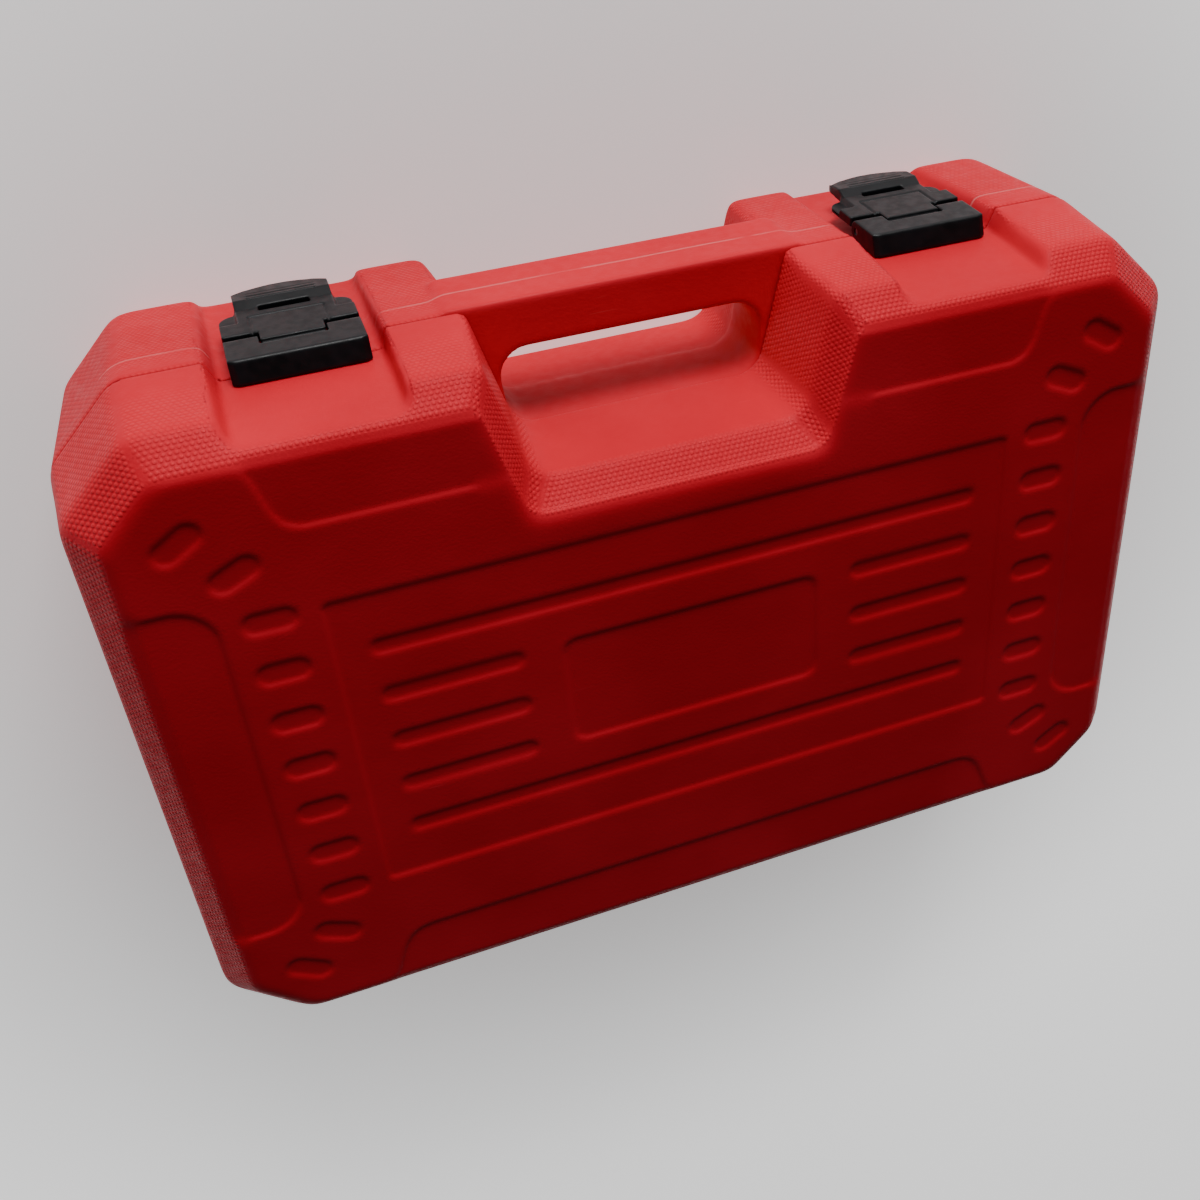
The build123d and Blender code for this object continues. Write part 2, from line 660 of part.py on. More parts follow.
def make_plug_socket(name, x, y, z, flats, outside):
    """Long spark plug socket lying along X, and the rubber sleeve in its mouth."""
    length = PLUG_LENGTH
    with BuildPart() as plug_socket:
        with Locations(Location((x + length / 2, y, z), (0, 90, 0))):
            Cylinder(outside / 2, length)
        fillet(plug_socket.edges(), 1.0)
        with BuildSketch(Plane.YZ.offset(x)):
            with Locations((y, z)):
                RegularPolygon(flats / 2 + 0.1, 6, major_radius=False)
        extrude(amount=46, mode=Mode.SUBTRACT)
        with Locations((x + length - 7, y, z)):
            Box(16, HALF_DRIVE + 0.15, HALF_DRIVE + 0.15, mode=Mode.SUBTRACT)
    save(plug_socket, name)
    with BuildPart() as sleeve:
        with Locations(Location((x + 35, y, z), (0, 90, 0))):
            Cylinder(flats / 2, 20)
            Cylinder(flats / 2 - 3, 22, mode=Mode.SUBTRACT)
    save(sleeve, name + "_sleeve")


def make_bits():
    with BuildPart() as driver_bits:
        for x, y in bit_places():
            with BuildSketch(Plane.XY.offset(SOCKET_TOP - BIT_LENGTH)):
                with Locations((x, y)):
                    RegularPolygon(BIT / 2, 6, major_radius=False)
            extrude(amount=BIT_LENGTH - BIT_TIP)
            with BuildSketch(Plane.XY.offset(SOCKET_TOP - BIT_TIP)):
                with Locations((x, y)):
                    RegularPolygon(BIT / 2, 6, major_radius=False)
            extrude(amount=BIT_TIP, taper=10)
    save(driver_bits, "driver_bits")


def bit_places():
    """Middle of each screwdriver bit, in two rows."""
    return [(BIT_START + BIT_PITCH * n, y) for y in BIT_ROWS for n in range(8)]


# ---------------------------------------------------------------- trays and liner
# each tray insert as name, x from and to, y from and to
TRAYS = (("tray_large_sockets", -184.0, 184.0, -130.0, -70.9),
         ("tray_middle_sockets", -184.0, 184.0, -70.9, -43.6),
         ("tray_small_sockets", -184.0, 184.0, -43.6, -20.8),
         ("tray_small_ratchet", -184.0, 184.0, -20.8, 10.9),
         ("tray_large_ratchet", -184.0, 184.0, 10.9, 78.0),
         ("tray_left_end", -184.0, 0.0, 78.0, 130.0),
         ("tray_right_end", 0.0, 184.0, 78.0, 130.0))
TRAY_GAP = 0.2


def troughs():
    """Troughs around rows of standing tools, as (middles and radii of its round parts, floor)."""
    for row_y in (HALF_ROW_Y, MIDDLE_ROW_Y, QUARTER_ROW_Y):
        row = [socket for socket in socket_rows() if socket[2] == row_y]
        rounds = [(x, y, outside / 2 + POCKET_GAP) for _, x, y, _, outside, _, _ in row]
        yield rounds, SOCKET_TOP - row[0][5] - 0.2
    for row_y in BIT_ROWS:
        ends = [(x, y, BIT / 2 + 1.2) for x, y in bit_places() if y == row_y]
        yield ends, SOCKET_TOP - BIT_LENGTH - 0.2


def drive_wells():
    """Deeper round wells for the drive squares of the ratchets, as (x, y, radius, floor)."""
    for _, x, y, z, scale, _ in (HALF_RATCHET, QUARTER_RATCHET):
        square = HALF_DRIVE if scale == 1 else QUARTER_DRIVE
        yield x, y, 0.75 * square + 1.5, z - HEAD_HALF * scale - square - 2


def lying_pocket(x0, x1, y, half):
    """Place and size of a pocket for a lying tool: middle, length along X and width."""
    return ((x0 + x1) / 2, y, x1 - x0 + 2 * POCKET_GAP, 2 * (half + POCKET_GAP))


def long_pockets():
    """Oblong pockets as (x, y, length, width, floor)."""
    for _, x, y, z, scale, reach in (HALF_RATCHET, QUARTER_RATCHET):
        head = HEAD_RADIUS * scale
        yield *lying_pocket(x - head, x + reach, y, head), z - 13 * scale - 0.2
    for _, x, y, z, length, square in (HALF_EXTENSION, QUARTER_EXTENSION, SHORT_EXTENSION):
        yield *lying_pocket(x, x + length, y, 0.9 * square), z - 0.88 * square - 0.2
    x, y, z = SPINNER
    yield *lying_pocket(x, x + SPINNER_GRIP + 50, y, 12), z - 11.7
    for _, x, y, z, _, outside in PLUG_SOCKETS:
        yield *lying_pocket(x, x + PLUG_LENGTH, y, outside / 2), z - outside / 2 - 0.2


def make_trays():
    """Inner wall of the base: a field with a bowl or trough for every tool, in separate inserts."""
    with BuildPart() as field:
        add(base_room(WALL, FIELD_Z - SKIN))
        with Locations((0, 0, SEAM_Z + 10)):
            Box(4 * HALF_WIDTH, 4 * HALF_HEIGHT, 2 * (10 + SEAM_GAP / 2), mode=Mode.SUBTRACT)
        add(base_room(WALL + SKIN, FIELD_Z), mode=Mode.SUBTRACT)
        for grow, mode in ((SKIN, Mode.ADD), (0, Mode.SUBTRACT)):
            for rounds, floor in troughs():
                with BuildSketch(Plane.XY.offset(floor - grow)):
                    for x, y, radius in rounds:
                        with Locations((x, y)):
                            Circle(radius + grow)
                    make_hull()
                extrude(amount=FIELD_Z - floor + grow, mode=mode)
            for x, y, length, width, floor in long_pockets():
                with BuildSketch(Plane.XY.offset(floor - grow)):
                    with Locations((x, y)):
                        RectangleRounded(length + 2 * grow, width + 2 * grow, 1.5 + grow)
                extrude(amount=FIELD_Z - floor + grow, mode=mode)
            for x, y, radius, floor in drive_wells():
                with BuildSketch(Plane.XY.offset(floor - grow)):
                    with Locations((x, y)):
                        Circle(radius + grow)
                extrude(amount=FIELD_Z - floor + grow, mode=mode)
    for name, x0, x1, y0, y1 in TRAYS:
        with BuildPart() as tray:
            add(field.part)
            with Locations(((x0 + x1) / 2, (y0 + y1) / 2, SEAM_Z / 2)):
                Box(x1 - x0 - TRAY_GAP, y1 - y0 - TRAY_GAP, 2 * SEAM_Z, mode=Mode.INTERSECT)
        save(tray, name)


def make_lid_liner():
    """Inner wall of the lid, with ribs that stiffen its field."""
    with BuildPart() as lid_liner:
        add(lid_room(WALL, LINER_Z + SKIN))
        with Locations((0, 0, SEAM_Z - 10)):
            Box(4 * HALF_WIDTH, 4 * HALF_HEIGHT, 2 * (10 + SEAM_GAP / 2), mode=Mode.SUBTRACT)
        add(lid_room(WALL + SKIN, LINER_Z), mode=Mode.SUBTRACT)
        with BuildSketch(Plane.XY.offset(LINER_Z - 4)):
            with Locations((0, -30)):
                RectangleRounded(300, 130, 12)
                RectangleRounded(292, 122, 10, mode=Mode.SUBTRACT)
                RectangleRounded(220, 70, 12)
                RectangleRounded(212, 62, 10, mode=Mode.SUBTRACT)
        extrude(amount=4.5)
    save(lid_liner, "lid_liner")


# ---------------------------------------------------------------- the whole set
def main():
    make_hinge_pins()
    make_base_shell()
    make_lid_shell()
    make_trays()
    make_lid_liner()
    for hand, side in ((-1, "left"), (1, "right")):
        make_latch_box(hand, "latch_box_" + side)
        make_latch_lever(hand, "latch_lever_" + side)
        make_latch_pin(hand, "latch_pin_" + side)
    for socket in socket_rows():
        make_socket(*socket)
    for ratchet in (HALF_RATCHET, QUARTER_RATCHET):
        make_ratchet(*ratchet)
    for extension in (HALF_EXTENSION, QUARTER_EXTENSION, SHORT_EXTENSION):
        make_extension(*extension)
    make_spinner()
    for plug_socket in PLUG_SOCKETS:
        make_plug_socket(*plug_socket)
    make_bits()


main()
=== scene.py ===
from math import pi, sqrt

import bpy
import numpy as np
from mathutils import Matrix, Vector


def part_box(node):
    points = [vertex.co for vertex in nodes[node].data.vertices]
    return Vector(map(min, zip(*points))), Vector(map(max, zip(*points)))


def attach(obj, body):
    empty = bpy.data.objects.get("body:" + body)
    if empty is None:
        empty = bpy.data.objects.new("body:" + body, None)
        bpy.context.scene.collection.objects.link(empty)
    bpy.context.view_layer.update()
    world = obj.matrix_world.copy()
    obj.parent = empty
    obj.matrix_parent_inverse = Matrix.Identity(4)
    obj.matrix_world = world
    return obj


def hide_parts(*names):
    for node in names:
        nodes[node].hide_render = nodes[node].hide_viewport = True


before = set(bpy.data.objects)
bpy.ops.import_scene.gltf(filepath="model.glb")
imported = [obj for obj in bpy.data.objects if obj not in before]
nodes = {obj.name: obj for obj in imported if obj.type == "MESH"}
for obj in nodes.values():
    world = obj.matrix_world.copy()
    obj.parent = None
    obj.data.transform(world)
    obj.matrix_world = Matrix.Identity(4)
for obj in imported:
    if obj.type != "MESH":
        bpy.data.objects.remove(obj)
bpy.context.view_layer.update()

MM = 0.001


def top_of(node):
    """Highest z of a CAD node, in millimetres."""
    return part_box(node)[1].z / MM


FACE_Z = top_of("lid_shell")
SEAM_Z = top_of("base_shell")


# ---------------------------------------------------------------- finishes
def srgb(red, green, blue):
    """Linear colour of an sRGB one given in 0 to 255."""
    def one(value):
        value /= 255
        return value / 12.92 if value <= 0.04045 else ((value + 0.055) / 1.055) ** 2.4
    return (one(red), one(green), one(blue), 1.0)


class Finish:
    """A procedural material and the node graph behind it."""

    def __init__(self, name, colour, roughness, metallic=0.0):
        self.material = bpy.data.materials.new(name)
        self.material.use_nodes = True
        self.tree = self.material.node_tree
        self.shader = self.tree.nodes["Principled BSDF"]
        self.shader.inputs["Base Color"].default_value = colour
        self.shader.inputs["Roughness"].default_value = roughness
        self.shader.inputs["Metallic"].default_value = metallic
        self.place = self.add("ShaderNodeTexCoord").outputs["Object"]
        self.normal = None

    def put(self, socket, value):
        """Link a socket, or set it, to value."""
        if isinstance(value, bpy.types.NodeSocket):
            self.tree.links.new(value, socket)
        else:
            socket.default_value = value

    def add(self, kind, inputs=(), **settings):
        node = self.tree.nodes.new(kind)
        for key, value in settings.items():
            setattr(node, key, value)
        for key, value in dict(inputs).items():
            self.put(node.inputs[key], value)
        return node

    def sum(self, operation, first, second=0.0, third=0.0):
        inputs = {0: first, 1: second, 2: third}
        return self.add("ShaderNodeMath", inputs, operation=operation).outputs[0]

    def ramp(self, value, low, high, to_low=0.0, to_high=1.0, kind="SMOOTHSTEP"):
        inputs = {"Value": value, "From Min": low, "From Max": high, "To Min": to_low, "To Max": to_high}
        return self.add("ShaderNodeMapRange", inputs, interpolation_type=kind).outputs["Result"]

    def noise(self, per_metre, detail=2.0, place=None):
        inputs = {"Vector": place or self.place, "Scale": per_metre, "Detail": detail}
        return self.add("ShaderNodeTexNoise", inputs).outputs["Fac"]

    def mix(self, factor, first, second):
        node = self.add("ShaderNodeMix", data_type="RGBA")
        self.put(node.inputs[0], factor)
        self.put(node.inputs[6], first)
        self.put(node.inputs[7], second)
        return node.outputs[2]

    def stretched(self, x, y, z):
        """Place scaled by a different amount along each axis."""
        inputs = {0: self.place, 1: (x, y, z)}
        return self.add("ShaderNodeVectorMath", inputs, operation="MULTIPLY").outputs[0]

    def axes(self):
        """Place along x, y and z in millimetres."""
        inputs = {0: self.place, "Scale": 1 / MM}
        scaled = self.add("ShaderNodeVectorMath", inputs, operation="SCALE").outputs[0]
        return self.add("ShaderNodeSeparateXYZ", {0: scaled}).outputs

    def soft_edges(self, radius):
        """Edges that catch the light over the given radius in millimetres."""
        self.normal = self.add("ShaderNodeBevel", {"Radius": radius * MM}, samples=4).outputs[0]

    def bump(self, height, depth, strength=1.0):
        """Raise the surface by height times depth millimetres."""
        inputs = {"Height": height, "Distance": depth * MM, "Strength": strength}
        if self.normal is not None:
            inputs["Normal"] = self.normal
        self.normal = self.add("ShaderNodeBump", inputs).outputs["Normal"]

    def set(self, name, value):
        self.put(self.shader.inputs[name], value)

    def done(self):
        if self.normal is not None:
            self.set("Normal", self.normal)
        return self.material


RUB_RADIUS = 1.0            # millimetres


def worn_edges(finish):
    """Factor that is high on the rubbed outer edges of a piece."""
    bevel = finish.add("ShaderNodeBevel", {"Radius": RUB_RADIUS * MM}, samples=4).outputs[0]
    flat = finish.add("ShaderNodeNewGeometry").outputs["Normal"]
    pair = {0: bevel, 1: flat}
    turned = finish.add("ShaderNodeVectorMath", pair, operation="DOT_PRODUCT").outputs["Value"]
    patch = finish.noise(90, 3)
    return finish.sum("MULTIPLY", finish.ramp(turned, 0.98, 0.86), finish.ramp(patch, 0.45, 0.65))


DOT_PITCH = 1.8             # moulded dots, in staggered rows
DOT_RADIUS = 0.78


def dot_height(finish, u, v):
    """Height of the moulded dots, 0 to 1, at the surface coordinates u and v in millimetres."""
    across = DOT_PITCH
    along = DOT_PITCH * sqrt(3)
    found = []
    for shift in (0.0, 0.5):
        a = finish.sum("FRACT", finish.sum("MULTIPLY_ADD", u, 1 / across, shift))
        b = finish.sum("FRACT", finish.sum("MULTIPLY_ADD", v, 1 / along, shift))
        a = finish.sum("MULTIPLY", finish.sum("SUBTRACT", a, 0.5), across)
        b = finish.sum("MULTIPLY", finish.sum("SUBTRACT", b, 0.5), along)
        square = finish.sum("ADD", finish.sum("MULTIPLY", a, a), finish.sum("MULTIPLY", b, b))
        found.append(finish.ramp(square, DOT_RADIUS**2, 0.0))
    return finish.sum("MAXIMUM", *found)


RED_DEEP = srgb(188, 23, 38)
RED_PALE = srgb(203, 31, 46)
# painted highlight: the lighter red that the moulded dots are tinted towards
RED_DOT_HIGHLIGHT = srgb(232, 62, 66)
RED_SCRATCH = srgb(230, 90, 92)
RED_FLASH = srgb(238, 150, 148)
FLASH_FRONT = 117.5         # the flash line shows in front of this y
FLASH_HALF = 0.75           # half of its width


def case_red(name, flash):
    """Blow-moulded red plastic with dots where the mesh says so, each with a painted highlight; flash adds
    the pale pinch-off line.
    """
    finish = Finish(name, RED_DEEP, 0.48)
    mottle = finish.noise(14, 4)
    fine = finish.noise(1100, 2)
    colour = finish.mix(finish.ramp(mottle, 0.3, 0.7), RED_DEEP, RED_PALE)
    grain = finish.add("ShaderNodeAttribute", attribute_name="grain")
    u, v, mask = finish.add("ShaderNodeSeparateXYZ", {0: grain.outputs["Vector"]}).outputs
    dots = finish.sum("MULTIPLY", dot_height(finish, u, v), mask)
    # painted highlight: the dots are drawn lighter, standing in for the light they catch
    colour = finish.mix(finish.sum("MULTIPLY", dots, 0.2), colour, RED_DOT_HIGHLIGHT)
    scratch = finish.ramp(finish.noise(1, 6, finish.stretched(40, 700, 300)), 0.68, 0.76)
    marks = finish.sum("MULTIPLY", scratch, finish.ramp(finish.noise(9, 2), 0.5, 0.62))
    colour = finish.mix(finish.sum("MULTIPLY", marks, 0.18), colour, RED_SCRATCH)
    if flash:
        _, y, z = finish.axes()
        waver = finish.sum("MULTIPLY_ADD", finish.noise(60, 2), 0.9, -0.45)
        away = finish.sum("ABSOLUTE", finish.sum("SUBTRACT", finish.sum("ADD", z, waver), flash))
        outside = finish.ramp(y, FLASH_FRONT, FLASH_FRONT + 1.5)
        line = finish.sum("MULTIPLY", finish.ramp(away, FLASH_HALF, 0.25), outside)
        line = finish.sum("MULTIPLY", line, finish.ramp(finish.noise(35, 3), 0.34, 0.5))
        colour = finish.mix(finish.sum("MULTIPLY", line, 0.28), colour, RED_FLASH)
    finish.set("Base Color", colour)
    finish.set("Roughness", finish.ramp(finish.noise(260, 3), 0.3, 0.7, 0.42, 0.56))
    finish.set("Specular IOR Level", 0.08)
    finish.bump(finish.noise(45, 2), 0.25, 0.5)
    finish.bump(fine, 0.09, 0.65)
    finish.bump(dots, 0.24, 0.75)
    if flash:
        finish.bump(line, 0.35, 0.8)
    return finish.done()


def tray_red():
    finish = Finish("tray_red", srgb(150, 14, 20), 0.5)
    finish.soft_edges(1.0)
    tone = finish.ramp(finish.noise(20, 3), 0.3, 0.7)
    finish.set("Base Color", finish.mix(tone, srgb(140, 10, 16), srgb(162, 18, 24)))
    finish.set("Roughness", finish.ramp(finish.noise(200, 3), 0.3, 0.7, 0.44, 0.6))
    finish.bump(finish.noise(1300, 2), 0.05, 0.5)
    return finish.done()


def black_plastic(name, roughness, edge, grain_depth):
    finish = Finish(name, srgb(10, 11, 13), roughness)
    finish.set("Specular IOR Level", 0.22)
    finish.soft_edges(edge)
    tone = finish.ramp(finish.noise(120, 3), 0.35, 0.7)
    colour = finish.mix(tone, srgb(7, 8, 10), srgb(12, 13, 16))
    rubbed = worn_edges(finish)
    colour = finish.mix(finish.sum("MULTIPLY", rubbed, 0.35), colour, srgb(86, 88, 92))
    finish.set("Base Color", colour)
    finish.set("Roughness", finish.ramp(finish.noise(300, 3), 0.3, 0.7, roughness - 0.05, roughness + 0.1))
    finish.bump(finish.noise(1600, 2), grain_depth, 0.6)
    return finish.done()


def chrome():
    finish = Finish("tool_chrome", srgb(214, 216, 219), 0.16, 1.0)
    finish.soft_edges(0.35)
    smear = finish.ramp(finish.noise(55, 5), 0.35, 0.7)
    finish.set("Base Color", finish.mix(smear, srgb(219, 221, 223), srgb(196, 199, 203)))
    finish.set("Roughness", finish.ramp(finish.noise(130, 4), 0.3, 0.7, 0.1, 0.26))
    finish.bump(finish.noise(900, 3), 0.012, 0.5)
    return finish.done()


def dark_steel(name, colour, roughness):
    finish = Finish(name, colour, roughness, 0.9)
    finish.soft_edges(0.25)
    rubbed = worn_edges(finish)
    finish.set("Base Color", finish.mix(rubbed, colour, srgb(168, 168, 170)))
    finish.set("Roughness", finish.ramp(finish.noise(240, 4), 0.3, 0.7, roughness - 0.08, roughness + 0.1))
    finish.bump(finish.noise(1100, 3), 0.02, 0.5)
    return finish.done()


LINE_Z = 55.0               # height of the pinch-off line along the handle
FINISHES = {
    "case_red": case_red("case_red", None),
    "tray_red": tray_red(),
    "pin_steel": dark_steel("pin_steel", srgb(150, 151, 154), 0.34),
    "latch_black": black_plastic("latch_black", 0.36, 0.3, 0.03),
    "grip_black": black_plastic("grip_black", 0.52, 0.5, 0.06),
    "sleeve_rubber": black_plastic("sleeve_rubber", 0.72, 0.4, 0.05),
    "bit_steel": dark_steel("bit_steel", srgb(118, 118, 121), 0.38),
    "selector_dark": dark_steel("selector_dark", srgb(58, 59, 62), 0.42),
    "tool_chrome": chrome(),
}
RED_WITH_FLASH = case_red("case_red_flash", LINE_Z)


# ---------------------------------------------------------------- softened plastic pieces
def step(value, low, high):
    """0 below low, 1 above high and a smooth rise between."""
    t = np.clip((value - low) / (high - low), 0.0, 1.0)
    return t * t * (3 - 2 * t)


def voxel_copy(node, voxel):
    """Evenly meshed copy of a CAD node, with edges about one voxel soft."""
    work = bpy.data.objects.new(node + "_work", nodes[node].data.copy())
    bpy.context.scene.collection.objects.link(work)
    remesh = work.modifiers.new("voxels", "REMESH")
    remesh.mode = "VOXEL"
    remesh.voxel_size = voxel * MM
    graph = bpy.context.evaluated_depsgraph_get()
    mesh = bpy.data.meshes.new_from_object(work.evaluated_get(graph))
    bpy.data.objects.remove(work)
    mesh.materials.clear()
    return mesh


def get_points(mesh):
    """Vertices in millimetres."""
    flat = np.empty(len(mesh.vertices) * 3, np.float32)
    mesh.vertices.foreach_get("co", flat)
    return flat.reshape(-1, 3).astype(float) / MM


def get_normals(mesh):
    flat = np.empty(len(mesh.vertices) * 3, np.float32)
    mesh.vertex_normals.foreach_get("vector", flat)
    return flat.reshape(-1, 3).astype(float)


def write_points(mesh, points):
    mesh.vertices.foreach_set("co", (points * MM).astype(np.float32).ravel())
    mesh.update()


def set_points(mesh, points, node):
    """Write vertices back, kept inside the CAD node's own box."""
    low, high = (np.array(corner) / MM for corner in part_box(node))
    write_points(mesh, np.clip(points, low, high))


def relax(mesh, points, passes, weight):
    """Move each vertex towards the middle of its neighbours, by weight, a number of times."""
    ends = np.empty(len(mesh.edges) * 2, np.int32)
    mesh.edges.foreach_get("vertices", ends)
    first, second = ends.reshape(-1, 2).T
    size = len(points)
    count = np.bincount(ends, minlength=size)
    for _ in range(passes):
        total = np.stack([np.bincount(first, points[second, axis], size)
                          + np.bincount(second, points[first, axis], size) for axis in range(3)], axis=1)
        points = points + 0.5 * weight[:, None] * (total / count[:, None] - points)
    return points


def finish_piece(mesh, name, node, body, material):
    """Put a softened mesh in the scene in place of its CAD node."""
    mesh.materials.append(material)
    mesh.shade_smooth()
    piece = bpy.data.objects.new(name, mesh)
    bpy.context.scene.collection.objects.link(piece)
    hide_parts(node)
    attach(piece, body)
    return piece


CASE_VOXEL = 0.85
EDGE_PASSES = 24
FACE_HALF_X = 170.0         # the flat faces of the case end at these distances
FACE_HALF_Y = 111.5
CORNER_LINE = 261.3         # x + y on the cut corners of the faces
SHOULDER = 11.0             # height of the sloping band round each face
BAND_SLOPE = 0.414
HAND_HALF_X = 62.0          # the hand space
HAND_Y = 64.0
LATCH_X = 105.0             # middle of each latch
CHANNEL_WALL = 29.5         # half width of a latch channel, to its side walls
FRONT_Y = 119.0             # the floors of the latch channels lie behind this
HINGE_Y = -122.6            # the hinge knuckles lie behind this


def outside_face(points):
    """How far a point lies outside the lid's flat face, in millimetres."""
    x, y = np.abs(points[:, 0]), np.abs(points[:, 1])
    return np.maximum.reduce([x - FACE_HALF_X, y - FACE_HALF_Y, (x + y - CORNER_LINE) / sqrt(2)])


def in_scoop(points, margin):
    """1 close to the hand space, fading out over a few millimetres."""
    reach = step(HAND_HALF_X + margin - np.abs(points[:, 0]), 0, 4)
    return reach * step(points[:, 1], HAND_Y - margin, HAND_Y + 6 - margin)


def surface_grain(points, normals, face_z, sign):
    """Surface coordinates for the moulded dots and how strongly they show at each vertex."""
    x, y, z = points.T
    turn = np.arctan2(normals[:, 1], normals[:, 0]) / (pi / 4)
    on_fold = step(np.abs(turn - np.round(turn)), 0.25, 0.45)
    angle = np.round(turn) * (pi / 4)
    u = y * np.cos(angle) - x * np.sin(angle)
    height = sign * (z - face_z) + SHOULDER
    v = sign * z + BAND_SLOPE * np.maximum(height, 0)
    side = step(0.93 - sign * normals[:, 2], 0, 0.12)
    near_seam = step(np.abs(z - SEAM_Z), 4, 24)
    upward = step(normals[:, 1], 0.85, 0.97) * step(y, 60, 70)
    strength = side * (1 - upward * (1 - near_seam) * 0.97)
    scoop_floor = step(normals[:, 1], 0.75, 0.9) * step(60 - np.abs(x), 0, 3) * step(98 - y, 0, 6)
    strength = strength * (1 - scoop_floor * step(-height, -1.0, 2.5))
    from_latch = np.abs(np.abs(x) - LATCH_X)
    channel = step(29.0 - from_latch, 0, 3) * step(FRONT_Y - y, 0, 0.8) * step(normals[:, 1], 0.82, 0.95)
    strength = strength * (1 - channel)
    if sign < 0:
        finger_hole = step(61.0 - np.abs(x), 0, 3) * step(y, 70, 72) * step(z, 32, 38)
        strength = strength * (1 - finger_hole)
    from_wall = np.abs(np.abs(np.abs(x) - 105.2) - CHANNEL_WALL)
    channel_wall = step(9.0 - from_wall, 0, 1.5) * step(122.2 - y, 0, 0.9)
    sideways = step(np.abs(normals[:, 0]), 0.3, 0.5)
    strength = strength * (1 - channel_wall * sideways * step(y, 113, 114))
    outer = step(outside_face(points), -0.5, 0.8)
    strength = strength * np.maximum(outer, in_scoop(points, 3)) * (1 - on_fold)
    return np.stack([u, v, strength], axis=1)


def write_grain(mesh, values):
    layer = mesh.attributes.new("grain", "FLOAT_VECTOR", "POINT")
    layer.data.foreach_set("vector", values.astype(np.float32).ravel())


def soft_weight(points, face_z):
    """How far edges are rounded: most around the face, little at the seam and on the hinge."""
    x, y, z = points.T
    from_seam = step(np.abs(z - SEAM_Z), 2.5, 10)
    border = step(outside_face(points), -4, -1)
    weight = np.maximum(border, in_scoop(points, 5)) * from_seam
    hinge = step(y, -121, -124.5)
    channel = step(28.0 - np.abs(np.abs(x) - LATCH_X), 0, 3) * step(y, 108, 111)
    weight = weight * (1 - 0.75 * channel * step(np.abs(z - face_z), 6, 12))
    return np.where(y < HINGE_Y, 0.0, weight) * (1 - np.clip(hinge, 0, 1))


RELIEF = 0.64               # depth of the lid's pattern, as a share of the CAD's


def shallower_pattern(points):
    """Raise the floors of the recesses in the lid's face a little."""
    near_face = step(points[:, 2], FACE_Z - 3.1, FACE_Z - 2.6) * step(-outside_face(points), 0.0, 2.0)
    points[:, 2] += (1 - RELIEF) * (FACE_Z - points[:, 2]) * near_face
    return points


def soft_half(node, body, face_z, sign, smoothing, material):
    """Softened shell of the lid or the base; sign tells which way its flat face looks."""
    mesh = voxel_copy(node, CASE_VOXEL)
    points = get_points(mesh)
    points = relax(mesh, points, EDGE_PASSES, soft_weight(points, face_z))
    if sign > 0:
        points = shallower_pattern(points)
    away = step(np.abs(points[:, 2] - SEAM_Z), 0.8, 3.0) * (points[:, 1] > -123)
    points = relax(mesh, points, smoothing, away)
    set_points(mesh, points, node)
    write_grain(mesh, surface_grain(points, get_normals(mesh), face_z, sign))
    return finish_piece(mesh, body + "_soft_shell", node, body, material)


LATCH_VOXEL = 0.28
LATCH_HALF = 20.8           # half width of the block and the lever
BOX_LEAN = 2.4              # how far the block's front leans back at its top
BOX_CORNER = 0.9            # how far its front corners are rounded back
LEVER_TOP = 123.2           # just under the top face of the lever
LEVER_BACK = 37.2           # rear edge of the lever beside its tab
TAB_X = 15.2
SHOULDER_X = 15.4           # the lever's shoulders lie outside this, lower than its middle
SHOULDER_DROP = 1.9
SHOULDER_FRONT = 46.3
SHOULDER_BACK = 36.0
SHOULDER_ROUND = 5.2
TONGUE_X = 11.6             # the lines pressed beside and behind the tongue
TONGUE_BACK = 43.6
LINE_WIDTH = 0.42
LINE_DEPTH = 0.5


def soft_latch_box(side, middle):
    """Front block of a latch; its front face leans back towards the top."""
    node = "latch_box_" + side
    mesh = voxel_copy(node, LATCH_VOXEL)
    points = get_points(mesh)
    low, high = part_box(node)
    floor_y, top_y, front_z = low.y / MM, high.y / MM, high.z / MM
    height = np.clip((points[:, 1] - floor_y) / (top_y - floor_y), 0, 1)
    points[:, 2] -= BOX_LEAN * height * step(points[:, 2], front_z - 8, front_z)
    across = np.abs(points[:, 0] - middle)
    corner = step(across, LATCH_HALF - 2.2, LATCH_HALF) * step(points[:, 2], front_z - 5, front_z - 1)
    points[:, 2] -= BOX_CORNER * corner
    points = relax(mesh, points, 5, np.ones(len(points)))
    set_points(mesh, points, node)
    return finish_piece(mesh, "latch_front_" + side, node, "lid", FINISHES["latch_black"])


